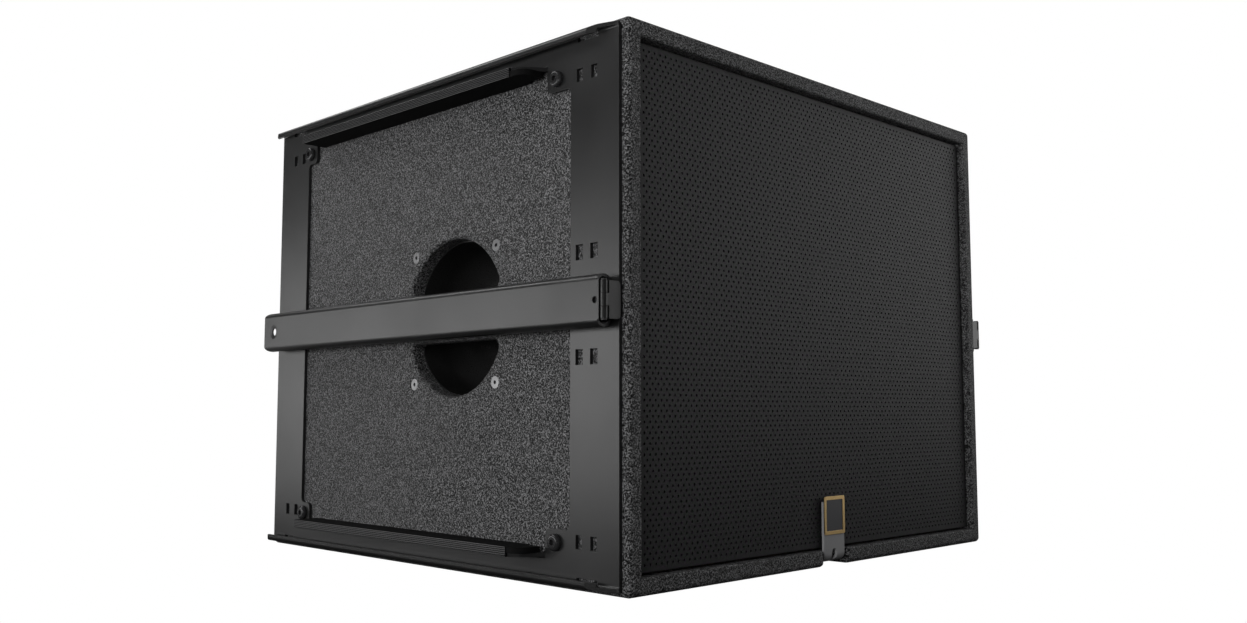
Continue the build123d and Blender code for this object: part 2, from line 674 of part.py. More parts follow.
def plate_window():
    """The opening through the plate's middle, stepped round its four lugs."""
    front, rear = WINDOW_BACK
    lug_front, lug_rear = LUG_BACK
    tall, low = WINDOW_HALF_HEIGHT + BEND_OUTER, LUG_HEIGHT
    right_half = ((rear, -low), (rear, low), (lug_rear, low), (lug_rear, tall))
    left_half = ((lug_front, tall), (lug_front, low), (front, low), (front, -low))
    lower = ((lug_front, -low), (lug_front, -tall), (lug_rear, -tall), (lug_rear, -low))
    outline = Polygon(*right_half, *left_half, *lower, align=None)
    rounded = [(back, side * low, 0) for back in (front, rear, lug_front, lug_rear) for side in (-1, 1)]
    outline = fillet(vertices_near(outline, rounded), LUG_CORNER)
    place = Plane(origin=side_point(-1, 0, 0), x_dir=(0, 1, 0), z_dir=(1, 0, 0))
    return run(place * outline, (-1, 0, 0), PLATE_SHEET + 2)


def plate_lip():
    """The upper inner lip, bent outward along the window's edge, with swept ends."""
    low, high = WINDOW_HALF_HEIGHT, WINDOW_HALF_HEIGHT + PLATE_SHEET
    neck = WINDOW_HALF_HEIGHT + BEND_OUTER
    edge = ((0, low), (LIP_OUT, low), (LIP_OUT, high))
    corners = (*edge, (PLATE_SHEET, high), (PLATE_SHEET, neck), (0, neck))
    section = side_profile(corners)
    outer = (LEFT, FRONT, MIDDLE + low)
    inner = (LEFT - PLATE_SHEET, FRONT, MIDDLE + high)
    section = fillet(vertices_near(section, [outer]), BEND_OUTER - LIP_BEND_EASE[0])
    section = fillet(vertices_near(section, [inner]), BEND_INNER - LIP_BEND_EASE[1])
    rear = PLATE_BACK[0] + PLATE_BACK[1] - LIP_FRONT
    ends = (
        (-1, LUG_BACK[0]),
        (PLATE_SHEET, LUG_BACK[0]),
        (LIP_WAIST, LIP_FRONT + LIP_FRONT_SWEEP[0]),
        (LIP_SHOULDER, LIP_FRONT + LIP_FRONT_SWEEP[1]),
        (LIP_OUT + 1, RAIL_BACK[0]),
        (LIP_OUT + 1, RAIL_BACK[1]),
        (LIP_SHOULDER, rear - LIP_REAR_SWEEP[0]),
        (LIP_WAIST, rear - LIP_REAR_SWEEP[1]),
        (PLATE_SHEET, LUG_BACK[1]),
        (-1, LUG_BACK[1]),
    )
    outline = Polygon(*ends, align=None)
    outline = fillet(vertices_near(outline, [(*ends[2], 0), (*ends[7], 0)]), LIP_WAIST)
    outline = fillet(vertices_near(outline, [(*ends[3], 0), (*ends[6], 0)]), LIP_SHOULDER_ROUND)
    place = Plane(origin=side_point(0, 0, neck + 1), x_dir=(-1, 0, 0), z_dir=(0, 0, -1))
    limits = run(place * outline, (0, 0, -1), neck - low + 2)
    return run(section, (0, 1, 0), PLATE_BACK[1]) & limits


def plate_slots():
    """The slots through the plate's sheet, and those that cut through the bends of its flanges."""
    cuts = []
    places = [(back, CORNER_SLOT_HEIGHT, CORNER_SLOT) for back in FRONT_SLOTS_BACK + REAR_SLOTS_BACK]
    places += [(back, MIDDLE_SLOT_HEIGHT, MIDDLE_SLOT) for back in FRONT_SLOTS_BACK]
    for side in (-1, 1):
        for back, height, (wide, tall) in places:
            across = (back - wide / 2, back + wide / 2)
            up = (side * height - tall / 2, side * height + tall / 2)
            cuts.append(side_block((-1, PLATE_SHEET + 1), across, up))
        for back in EDGE_SLOTS_BACK:
            up = sorted((side * EDGE_SLOT_HEIGHT, side * (PLATE_HALF_HEIGHT + 1)))
            cuts.append(side_block((-1, EDGE_SLOT_OUT), back, up))
    return cuts


def side_plate():
    level = Plane(origin=(0, 0, MIDDLE), z_dir=(0, 0, 1))
    half, lip = plate_half(), plate_lip()
    plate = half + mirror(half, about=level)
    plate -= plate_window()
    plate = plate + lip + mirror(lip, about=level)
    for cut in plate_slots():
        plate -= cut
    for back in PLATE_SCREW_BACK:
        for up in (-PLATE_SCREW_HEIGHT, PLATE_SCREW_HEIGHT):
            plate -= rod(side_point(-1, back, up), (-1, 0, 0), M10_HOLE, PLATE_SHEET + 2)
    return plate


def plate_screws():
    made = []
    for back in PLATE_SCREW_BACK:
        for up in (-PLATE_SCREW_HEIGHT, PLATE_SCREW_HEIGHT):
            seat = side_point(PLATE_SHEET, back, up)
            made.append(capped_screw(seat, (1, 0, 0), BUTTON_RADIUS, BUTTON_HEIGHT, M10_RADIUS, M10_LENGTH))
    return Compound(children=made)


def rail_nose():
    """The rail's plain, rounded front end, under the lip's swept end."""
    inner, outer = NOSE_OUT
    start = RAIL_BACK[0] - NOSE_LENGTH
    outline = Polygon((inner, start), (outer, start), (outer, RAIL_BACK[0]), (inner, RAIL_BACK[0]), align=None)
    outline = fillet(vertices_near(outline, [(outer, start, 0)]), NOSE_ROUND)
    place = Plane(origin=side_point(0, 0, WINDOW_HALF_HEIGHT), x_dir=(-1, 0, 0), z_dir=(0, 0, -1))
    return run(place * outline, (0, 0, -1), WINDOW_HALF_HEIGHT - RAIL_HEIGHT[0])


def upper_rail():
    """A ribbed runner that covers the upper lip's inner face and edge."""
    low, high = RAIL_HEIGHT
    corners = (
        (0, low),
        (RAIL_OUT, low),
        (RAIL_OUT, high),
        (LIP_OUT, high),
        (LIP_OUT, WINDOW_HALF_HEIGHT),
        (0, WINDOW_HALF_HEIGHT),
    )
    section = side_profile(corners)
    outer = [(LEFT - RAIL_OUT, FRONT, MIDDLE + z) for z in RAIL_HEIGHT]
    section = fillet(vertices_near(section, outer), 0.5)
    rail = Pos(0, RAIL_BACK[0], 0) * run(section, (0, 1, 0), RAIL_BACK[1] - RAIL_BACK[0])
    centre = (low + high) / 2
    for index in range(RIB_COUNT):
        height = centre + (index - (RIB_COUNT - 1) / 2) * RIB_PITCH
        across = (height - RIB_CUT / 2, height + RIB_CUT / 2)
        rail -= side_block((RAIL_OUT - RIB_CUT, RAIL_OUT + 1), RAIL_BACK, across)
    return rail + rail_nose()


def lower_rail():
    return mirror(upper_rail(), about=Plane(origin=(0, 0, MIDDLE), z_dir=(0, 0, 1)))


# ---- side bar ----

def oval(half_out, cap):
    """A flat oval: a rectangle with half an ellipse on each end."""
    shape = Rectangle(2 * half_out, 2 * BAR_FLAT_HALF)
    for side in (-1, 1):
        shape += Pos(0, side * BAR_FLAT_HALF) * Ellipse(half_out, cap)
    return shape


def side_bar():
    """A flat-oval channel, open towards the cabinet."""
    centre = (BAR_OUT[0] + BAR_OUT[1]) / 2
    half_out = (BAR_OUT[1] - BAR_OUT[0]) / 2
    opening = Pos(-half_out, 0) * Rectangle(2 * BAR_WALL + 1, 2 * BAR_FLAT_HALF)
    section = oval(half_out, BAR_CAP) - oval(half_out - BAR_WALL, BAR_CAP - BAR_WALL) - opening
    start = side_point(centre, BAR_BACK[0], 0)
    place = Plane(origin=start, x_dir=(-1, 0, 0), z_dir=(0, 1, 0))
    bar = extrude(place * section, amount=BAR_BACK[1] - BAR_BACK[0])
    web = (BAR_OUT[1] - BAR_WALL, BAR_OUT[1])
    bar += side_block(web, (BAR_WEB_FRONT, BAR_BACK[0] + 1), (-BAR_FLAT_HALF, BAR_FLAT_HALF))
    half_height = BAR_FLAT_HALF + BAR_CAP
    for side in (-1, 1):
        z = sorted((side * (half_height - BAR_REAR_CORNER), side * (half_height + 1)))
        corner = side_block((0, BAR_OUT[1] + 1), (BAR_BACK[1] - BAR_REAR_CORNER, BAR_BACK[1] + 1), z)
        pivot = side_point(0, BAR_BACK[1] - BAR_REAR_CORNER, side * (half_height - BAR_REAR_CORNER))
        bar -= corner - rod(pivot, (-1, 0, 0), BAR_REAR_CORNER, BAR_OUT[1] + 1)
    bar -= rod(side_point(web[0] - 1, BAR_PIN_BACK, 0), (-1, 0, 0), BAR_PIN_RADIUS, BAR_WALL + 2)
    sink = Plane(origin=side_point(BAR_OUT[1], BAR_PIN_BACK, 0), z_dir=(1, 0, 0))
    bar -= sink * Cone(BAR_SINK_RADIUS, BAR_PIN_RADIUS, BAR_SINK, align=SCREW_BASE)
    return bar - rod(side_point(web[0] - 1, BAR_VENT_BACK, 0), (-1, 0, 0), BAR_VENT_RADIUS, BAR_WALL + 2)


def hinge_rod(radius, height):
    """A round bar on the hinge's axis, between two heights."""
    return rod(side_point(HINGE_OUT, HINGE_BACK, height[0]), (0, 0, 1), radius, height[1] - height[0])


def bar_leaf():
    """The hinge leaf inside the bar's web, with a knuckle at each end."""
    out = (BAR_OUT[1] - 2 * BAR_WALL, BAR_OUT[1] - BAR_WALL)
    knuckle = (KNUCKLE_HALF + KNUCKLE_GAP, BARREL_HALF)
    leaf = side_block(out, (BAR_WEB_FRONT, BAR_LEAF_BACK), (-BARREL_HALF, BARREL_HALF))
    for height in (knuckle, (-knuckle[1], -knuckle[0])):
        leaf += side_block(out, (HINGE_BACK, BAR_WEB_FRONT), height)
        leaf += hinge_rod(BARREL_RADIUS, height)
    return leaf - hinge_rod(HINGE_BORE, (-BARREL_HALF, BARREL_HALF))


def fixed_leaf():
    """The hinge leaf on the side plate: a front-facing plate, a weld tab and the middle knuckle."""
    clear_out = HINGE_OUT - BARREL_RADIUS - BARREL_CLEARANCE
    leaf = side_block((PLATE_SHEET, clear_out), FIXED_LEAF_BACK, (-BARREL_HALF, BARREL_HALF))
    inner_edges = leaf.edges().filter_by(Axis.Y).sort_by(Axis.X)[-2:]
    leaf = fillet(inner_edges, FIXED_LEAF_CORNER)
    leaf += side_block((clear_out, HINGE_OUT), FIXED_LEAF_BACK, (-KNUCKLE_HALF, KNUCKLE_HALF))
    leaf += hinge_rod(BARREL_RADIUS, (-KNUCKLE_HALF, KNUCKLE_HALF))
    tab_height = BARREL_HALF - FIXED_LEAF_CORNER
    leaf += side_block((PLATE_SHEET, 2 * PLATE_SHEET - 1), FIXED_LEAF_TAB, (-tab_height, tab_height))
    return leaf - hinge_rod(HINGE_PIN_RADIUS, (-KNUCKLE_HALF, KNUCKLE_HALF))


def hinge_pin():
    ends = BARREL_HALF + KNUCKLE_GAP
    pin = hinge_rod(HINGE_PIN_RADIUS, (-ends, ends))
    for head in ((ends, ends + PIN_HEAD), (-ends - PIN_HEAD, -ends)):
        pin += hinge_rod(PIN_HEAD_RADIUS, head)
    return pin


def bar_catch():
    """The block on the plate that a locking pin through the bar goes into."""
    catch = side_block(CATCH_OUT, CATCH_BACK, (-CATCH_HALF_HEIGHT, CATCH_HALF_HEIGHT))
    catch = fillet(catch.edges().filter_by(Axis.X), CATCH_CORNER)
    length = CATCH_OUT[1] - CATCH_OUT[0] + 2
    return catch - rod(side_point(CATCH_OUT[0] - 1, BAR_PIN_BACK, 0), (-1, 0, 0), CATCH_RADIUS, length)


# ---- driver ----

DRIVER_PLACE = Plane(origin=(0, BAFFLE_FRONT, MIDDLE), x_dir=(1, 0, 0), z_dir=(0, 0, 1))
DRIVER_AXIS = Axis((0, BAFFLE_FRONT, MIDDLE), (0, 1, 0))


def turned(outline):
    """A body of revolution about the driver's axis."""
    return revolve(DRIVER_PLACE * outline, DRIVER_AXIS)


def turned_points(*points):
    return turned(Polygon(*points, align=None))


def turned_ring(radii, depths):
    """A plain ring between two radii and two depths."""
    (inner, outer), (front, back) = radii, depths
    return turned_points((inner, front), (outer, front), (outer, back), (inner, back))


def half_disc(radius):
    """Half a disc beside the axis, which turns into a ball."""
    return Circle(radius) & Pos(radius, 0) * Rectangle(2 * radius, 2 * radius)


def driver_basket():
    """The cast frame: front flange, windowed cone wall, spider ledge and rear platform."""
    basket = turned_points(*BASKET_FLANGE, *BASKET_PLATFORM, *BASKET_LEDGE)
    half_width = BASKET_WINDOW_WIDTH / 2
    window = block(BASKET_WINDOW_RADIUS, BASKET_WINDOW_Y, (-half_width, half_width))
    for index in range(BASKET_WINDOW_COUNT):
        turn = 360 / BASKET_WINDOW_COUNT * (index + 0.5)
        basket -= Pos(0, BAFFLE_FRONT, MIDDLE) * Rot(0, turn, 0) * window
    for x, z in driver_screw_places():
        basket -= rod((x, BAFFLE_FRONT - FLANGE_THICK, z), (0, 1, 0), DRIVER_SCREW_SLOT, FLANGE_THICK)
    return basket


def driver_gasket():
    return turned_ring(GASKET_RADIUS, GASKET_Y)


def driver_screws():
    made = []
    for x, z in driver_screw_places():
        seat = (x, BAFFLE_FRONT - FLANGE_THICK, z)
        made.append(
            capped_screw(seat, (0, 1, 0), *DRIVER_SCREW_HEAD, DRIVER_SCREW_SHANK, DRIVER_SCREW_LENGTH)
        )
    return Compound(children=made)


def cone_surround():
    """The half-roll rubber surround, with a land glued to the frame and another to the cone."""
    outer, inner = ROLL_CENTRE + ROLL_RADIUS, ROLL_CENTRE - ROLL_RADIUS
    skin, seat, top = ROLL_SKIN, ROLL_SEAT, ROLL_SEAT - ROLL_SKIN
    start, end = CONE_LIP[0], GASKET_RADIUS[1]
    edges = [
        Line((end, seat), (end, top)),
        Line((end, top), (outer, top)),
        ThreePointArc((outer, top), (ROLL_CENTRE, top - ROLL_RADIUS), (inner, top)),
        Line((inner, top), (start, top)),
        Line((start, top), (start, seat)),
        Line((start, seat), (inner + skin, seat)),
        Line((inner + skin, seat), (inner + skin, top)),
        ThreePointArc((inner + skin, top), (ROLL_CENTRE, top - ROLL_RADIUS + skin), (outer - skin, top)),
        Line((outer - skin, top), (outer - skin, seat)),
        Line((outer - skin, seat), (end, seat)),
    ]
    return turned(make_face(edges))


def speaker_cone():
    """The cone, with a flat lip for the surround."""
    inner, outer = CONE_LIP
    lip = ((outer, CONE_FRONT), (outer, CONE_FRONT + CONE_SKIN), (inner + 0.5, CONE_FRONT + CONE_SKIN))
    neck = ((COIL_RADIUS, CONE_BACK + 2), (COIL_RADIUS, CONE_BACK))
    return turned_points(*lip, *neck, (inner, CONE_FRONT))


def dust_cap():
    edge, front, thick = DUST_CAP_EDGE, DUST_CAP_FRONT, DUST_CAP_SKIN
    ball = turned(Pos(0, front + DUST_CAP_BALL) * half_disc(DUST_CAP_BALL))
    hollow = turned(Pos(0, front + DUST_CAP_BALL) * half_disc(DUST_CAP_BALL - thick))
    return (ball - hollow) & rod((0, BAFFLE_FRONT + front - 1, MIDDLE), (0, 1, 0), edge, DUST_CAP_BALL)


def voice_coil():
    """The former and its winding."""
    former = turned_ring((COIL_FORMER, COIL_RADIUS), COIL_Y)
    return former + turned_ring((COIL_RADIUS - WINDING_GRIP, COIL_WINDING), WINDING_Y)


def spider():
    """The corrugated disc that centres the coil."""
    (inner, outer), level, swing = SPIDER_RADIUS, SPIDER_Y, SPIDER_SWING
    edge, land = SPIDER_LEDGE[0][0], SPIDER_LEDGE[1][0] - 1
    step = (outer - inner) / (2 * SPIDER_WAVES)
    wave = [(inner + step * k, level + (swing if k % 2 else -swing)) for k in range(1, 2 * SPIDER_WAVES)]
    front = [(COIL_RADIUS + SPIDER_FIT, level), (inner, level), *wave, (outer, level), (edge, level)]
    rear = [(r, y + SPIDER_SKIN) for r, y in reversed(front)]
    return turned_points(*front, *SPIDER_LEDGE, (land, level + SPIDER_SKIN), *rear[1:])


def magnet_front_plate():
    return turned_ring(*MAGNET_PLATE)


def ferrite_magnet():
    return turned_ring(*MAGNET_RING)


def pole_piece():
    """The back plate and the vented pole."""
    return turned_points(*POLE_PROFILE)


def driver_terminals():
    """A terminal block on the top of the frame's rear platform."""
    y = [BAFFLE_FRONT + depth for depth in TERMINAL_Y]
    z = [MIDDLE + height for height in TERMINAL_HEIGHT]
    terminals = block((-TERMINAL_HALF_WIDTH, TERMINAL_HALF_WIDTH), y, z)
    platform = BASKET_PLATFORM[0][0]
    return terminals - rod((0, y[0] - 1, MIDDLE), (0, 1, 0), platform, y[1] - y[0] + 2)


# ---- connectors ----

def connector_screw_places():
    offset_x, offset_z = CONNECTOR_SCREW
    return [(x, MIDDLE + z) for x in (-offset_x, offset_x) for z in (-offset_z, offset_z)]


def socket_screw_places():
    offset_x, offset_z = SOCKET_SCREW
    heights = (MIDDLE - SOCKET_OFFSET, MIDDLE + SOCKET_OFFSET)
    return [(side * offset_x, z + side * offset_z) for z in heights for side in (-1, 1)]


def connector_plate():
    wide, tall = CONNECTOR_PLATE
    place = Plane(origin=(0, REAR_OUTSIDE, MIDDLE), x_dir=(1, 0, 0), z_dir=(0, 1, 0))
    plate = extrude(place * RectangleRounded(wide, tall, CONNECTOR_CORNER), amount=CONNECTOR_SHEET)
    holes = [(0, MIDDLE + side * SOCKET_OFFSET, SOCKET_HOLE) for side in (-1, 1)]
    holes += [(x, z, PLATE_SCREW_HOLE) for x, z in connector_screw_places()]
    holes += [(x, z, SOCKET_SCREW_RADIUS) for x, z in socket_screw_places()]
    for x, z, radius in holes:
        plate -= rod((x, REAR_OUTSIDE, z), (0, 1, 0), radius, CONNECTOR_SHEET)
    return plate


def speaker_socket(height):
    """A round twist-lock socket with a rectangular flange and two tags behind it."""
    face = REAR_OUTSIDE + CONNECTOR_SHEET
    place = Plane(origin=(0, face, height), x_dir=(1, 0, 0), z_dir=(0, 1, 0))
    socket = extrude(place * RectangleRounded(*SOCKET_FLANGE, SOCKET_CORNER), amount=SOCKET_FLANGE_THICK)
    socket += rod((0, face, height), (0, -1, 0), SOCKET_BODY, SOCKET_DEPTH)
    socket -= rod((0, face + SOCKET_FLANGE_THICK, height), (0, -1, 0), SOCKET_BORE, SOCKET_BORE_DEPTH)
    for x in (-LEAD_X, LEAD_X):
        tag_y = (face - SOCKET_DEPTH - SOCKET_TAG, face - SOCKET_DEPTH)
        tag_z = (height - LEAD_RADIUS, height + LEAD_RADIUS)
        socket += block((x - LEAD_RADIUS, x + LEAD_RADIUS), tag_y, tag_z)
    for x, z in socket_screw_places():
        socket -= rod((x, face, z), (0, 1, 0), SOCKET_SCREW_HOLE, SOCKET_FLANGE_THICK)
    return socket


def connector_screws():
    seat = REAR_OUTSIDE + CONNECTOR_SHEET
    made = []
    for x, z in connector_screw_places():
        place = (x, seat, z)
        made.append(
            capped_screw(place, (0, -1, 0), *PLATE_SCREW_HEAD, PLATE_SCREW_RADIUS, PLATE_SCREW_LENGTH)
        )
    return Compound(children=made)


def socket_screws():
    seat = REAR_OUTSIDE + CONNECTOR_SHEET + SOCKET_FLANGE_THICK
    made = []
    for x, z in socket_screw_places():
        place = (x, seat, z)
        made.append(
            capped_screw(place, (0, -1, 0), *SOCKET_SCREW_HEAD, SOCKET_SCREW_RADIUS, SOCKET_SCREW_LENGTH)
        )
    return Compound(children=made)


def internal_lead():
    """The lead from the lower socket to the driver, and the link between the two sockets."""
    tag_end = REAR_OUTSIDE + CONNECTOR_SHEET - SOCKET_DEPTH - SOCKET_TAG
    lower, upper = MIDDLE - SOCKET_OFFSET, MIDDLE + SOCKET_OFFSET
    high, end = MIDDLE + LEAD_HEIGHT, BAFFLE_FRONT + TERMINAL_Y[1]
    lead = [(tag_end, lower), (LEAD_TURN_Y, lower), (LEAD_TURN_Y, high), (end, high)]
    turn = tag_end - LINK_DEPTH
    link = [(tag_end, lower), (turn, lower), (turn, upper), (tag_end, upper)]
    made = []
    for x, points in ((LEAD_X, lead), (-LEAD_X, link)):
        place = Plane(origin=(x, 0, 0), x_dir=(0, 1, 0), z_dir=(1, 0, 0))
        path = place * FilletPolyline(*points, radius=LEAD_BEND)
        section = Plane(origin=(x, tag_end, lower), z_dir=(0, -1, 0)) * Circle(LEAD_RADIUS)
        made.append(sweep(section, path=path))
    return Compound(children=made)


def all_parts():
    """Every node by name."""
    left = {
        "side_panel": side_panel(),
        "side_plate": side_plate(),
        "plate_screws": plate_screws(),
        "rail_upper": upper_rail(),
        "rail_lower": lower_rail(),
        "side_bar": side_bar(),
        "bar_leaf": bar_leaf(),
        "fixed_leaf": fixed_leaf(),
        "hinge_pin": hinge_pin(),
        "bar_catch": bar_catch(),
        "handle_cup": handle_cup(),
        "handle_screws": handle_screws(),
    }
    parts = {
        "top_panel": top_panel(),
        "bottom_panel": bottom_panel(),
        "rear_panel": rear_panel(),
        "front_baffle": front_baffle(),
        "brace": brace(),
        "rear_lining": rear_lining(),
        "front_grille": front_grille(),
        "grille_frame": grille_frame(),
        "acoustic_foam": acoustic_foam(),
        "badge_plate": badge_plate(),
        "badge_bracket": badge_bracket(),
        "bracket_screw": bracket_screw(),
        "driver_basket": driver_basket(),
        "driver_gasket": driver_gasket(),
        "driver_screws": driver_screws(),
        "driver_terminals": driver_terminals(),
        "cone_surround": cone_surround(),
        "speaker_cone": speaker_cone(),
        "dust_cap": dust_cap(),
        "voice_coil": voice_coil(),
        "spider": spider(),
        "magnet_front_plate": magnet_front_plate(),
        "ferrite_magnet": ferrite_magnet(),
        "pole_piece": pole_piece(),
        "connector_plate": connector_plate(),
        "connector_screws": connector_screws(),
        "speaker_socket_upper": speaker_socket(MIDDLE + SOCKET_OFFSET),
        "speaker_socket_lower": speaker_socket(MIDDLE - SOCKET_OFFSET),
        "socket_screws": socket_screws(),
        "internal_lead": internal_lead(),
        "feet": feet(),
        "foot_screws": foot_screws(),
    }
    for name, centre in port_places().items():
        parts[f"port_tube_{name}"] = port_tube(centre)
    for name, shape in left.items():
        parts[f"{name}_left"] = shape
        parts[f"{name}_right"] = mirrored(shape)
    return parts


os.makedirs("parts", exist_ok=True)
for node, shape in all_parts().items():
    export_step(shape, f"parts/{node}.step")
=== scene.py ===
import json
import math

import bmesh
import bpy
from mathutils import Matrix, Vector


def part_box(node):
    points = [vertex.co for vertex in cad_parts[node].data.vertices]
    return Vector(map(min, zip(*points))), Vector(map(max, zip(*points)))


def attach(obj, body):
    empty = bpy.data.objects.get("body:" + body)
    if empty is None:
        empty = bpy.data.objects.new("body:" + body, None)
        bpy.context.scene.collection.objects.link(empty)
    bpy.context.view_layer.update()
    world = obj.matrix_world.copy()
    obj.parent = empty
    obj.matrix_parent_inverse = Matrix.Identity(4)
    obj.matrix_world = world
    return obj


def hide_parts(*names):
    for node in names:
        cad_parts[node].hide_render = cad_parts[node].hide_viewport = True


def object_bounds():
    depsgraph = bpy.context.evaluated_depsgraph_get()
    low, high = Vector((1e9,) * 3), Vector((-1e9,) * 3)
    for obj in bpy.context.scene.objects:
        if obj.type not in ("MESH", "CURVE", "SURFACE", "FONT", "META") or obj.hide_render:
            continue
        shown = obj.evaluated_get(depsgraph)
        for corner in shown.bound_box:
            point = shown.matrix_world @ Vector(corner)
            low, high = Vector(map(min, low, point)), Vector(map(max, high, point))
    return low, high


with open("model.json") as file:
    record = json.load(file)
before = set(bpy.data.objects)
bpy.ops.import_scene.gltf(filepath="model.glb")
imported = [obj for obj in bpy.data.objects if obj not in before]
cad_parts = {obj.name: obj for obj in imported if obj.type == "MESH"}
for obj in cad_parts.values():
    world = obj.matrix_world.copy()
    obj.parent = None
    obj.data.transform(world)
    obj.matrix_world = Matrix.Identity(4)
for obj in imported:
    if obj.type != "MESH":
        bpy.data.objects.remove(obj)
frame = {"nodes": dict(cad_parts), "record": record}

cad_low, cad_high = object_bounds()
MM = 0.001

# Badge
BADGE_BORDER = 4.0 * MM

# Ribbed rails: how far in from the outermost crown the painted highlight and the gloss start, and where
# they are full
CROWN_SHEEN_START, CROWN_SHEEN_FULL = 0.5 * MM, 0.1 * MM

# Perforated grille
HOLE_PITCH_X = 8.1 * MM
HOLE_PITCH_Z = 5.25 * MM
HOLE_RADIUS = 1.4 * MM
HOLE_SIDES = 12
SHEET = 1.5 * MM
PLAIN_MARGIN = 4.5 * MM
CORNER_RADIUS = 6.0 * MM
CORNER_STEPS = 6
EDGE_BEND = 1.2 * MM
# Share of the bend that each ring is set in from the edge, and set back from the front
BEND_STEPS = ((1.0, 0.0), (0.62, 0.08), (0.29, 0.29), (0.08, 0.62), (0.0, 1.0))

# Floor and backdrop; the floor's grey is given with its distance from the part's middle: a painted
# shade, near black by the part and paler away from it, that only reflections and bounced light see
FLOOR_HALF_SIZE = 40.0
FLOOR_DROP = 0.2 * MM
FLOOR_NEAR, PAINTED_SHADE_GREY = 0.7, 0.03
FLOOR_FAR, GREY_FAR = 1.6, 0.56
BACKDROP_SEEN = 1.0
BACKDROP_LIGHT = 0.06

# Soft lights: name, place, point it faces, width and height, power, and whether surfaces mirror it
SOFTBOXES = (
    ("left_strip", (-2.3, 1.4, 0.34), (-0.34, -0.1, 0.27), (2.6, 0.66), 20, True),
    ("left_fill", (-3.0, -1.3, 0.6), (-0.34, 0.0, 0.28), (1.5, 1.5), 100, False),
    ("right_box", (2.4, -1.6, 1.0), (0.1, -0.33, 0.35), (2.0, 1.5), 20, True),
    ("top_box", (-0.3, -0.4, 3.0), (0, 0, 0.3), (3.5, 3.5), 38, False),
    ("top_strip", (-1.5, 1.6, 2.2), (-0.34, 0.0, 0.55), (3.2, 0.5), 22, True),
    ("back_fill", (2.2, 2.8, 1.6), (0.1, 0.2, 0.3), (2.2, 2.2), 110, False),
)

# Camera: place in metres, direction in degrees, lens and sensor in millimetres
CAMERA_PLACE = (-1.1064, -1.0927, 0.1778)
CAMERA_YAW, CAMERA_TILT, CAMERA_ROLL = 45.17, 5.045, -0.05
CAMERA_LENS = 32.945
CAMERA_SENSOR = 36
CAMERA_RANGE = (0.01, 200)


# ---- material builder ----

